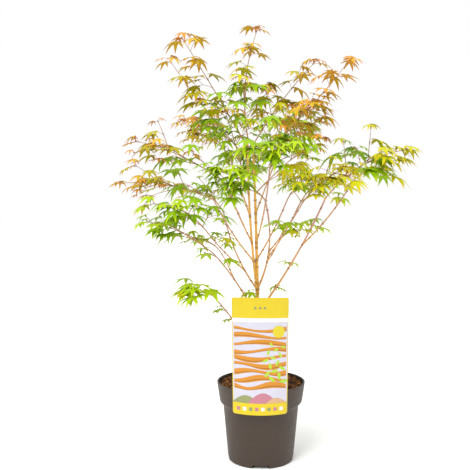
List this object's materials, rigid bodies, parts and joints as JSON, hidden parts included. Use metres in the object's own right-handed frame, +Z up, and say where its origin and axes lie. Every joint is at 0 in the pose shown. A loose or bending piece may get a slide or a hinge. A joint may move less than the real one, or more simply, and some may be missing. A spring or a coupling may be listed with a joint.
{
  "type": "potted japanese maple",
  "caption": "Young ornamental maple with deeply cut palmate leaves on an open vase of golden-barked shoots, growing in a round nursery pot with an upright label card.",
  "frame": {"origin": "centre of the flat underside of the pot", "axes": "+Z up along the pot's axis, -Y towards the label card, +X to the right of the card as it is read"},
  "size_m": [0.6136, 0.5124, 0.8313],
  "materials": {
    "pot": "matte",
    "compost": "matte",
    "label": "satin",
    "bark": "satin",
    "shoots": "satin",
    "leaves_green": "satin",
    "leaves_lime": "satin",
    "leaves_yellow": "satin",
    "leaves_olive": "satin",
    "leaves_orange": "satin"
  },
  "bodies": {
    "root": {"pot": "pot", "soil": "compost", "label": "label", "trunk": "bark", "leader_left": "bark", "bough_foot_left": "shoots", "bough_low_left": "shoots", "bough_low_left_back": "shoots", "bough_right_long": "shoots", "bough_right_outer": "shoots", "bough_left_fork": "shoots", "bough_left_front": "shoots", "bough_right_arch": "shoots", "bough_arch_front": "shoots", "bough_arch_low": "shoots", "bough_arch_back": "shoots", "bough_mid_left": "shoots", "bough_left_high": "shoots", "bough_back_left": "shoots", "bough_centre_right": "shoots", "bough_centre_front": "shoots", "bough_back": "shoots", "bough_back_right": "shoots", "foliage_top": "leaves_olive", "foliage_upper_left": "leaves_olive", "foliage_upper_left_back": "leaves_orange", "foliage_upper_right": "leaves_olive", "foliage_upper_right_long": "leaves_orange", "foliage_mid_left": "leaves_orange", "foliage_back_left": "leaves_orange", "foliage_left_high": "leaves_yellow", "foliage_left_fork": "leaves_green", "foliage_left_front": "leaves_green", "foliage_low_left": "leaves_lime", "foliage_low_left_back": "leaves_lime", "foliage_foot_left": "leaves_lime", "foliage_centre_low": "leaves_green", "foliage_arch_front": "leaves_yellow", "foliage_arch_low": "leaves_yellow", "foliage_arch_back": "leaves_yellow", "foliage_right_long": "leaves_yellow", "foliage_right_outer": "leaves_green", "foliage_centre_right": "leaves_green", "foliage_centre_front": "leaves_green", "foliage_right_mid": "leaves_orange", "foliage_back": "leaves_green", "foliage_back_right": "leaves_olive", "foliage_front_left": "leaves_green"}
  },
  "joints": []
}
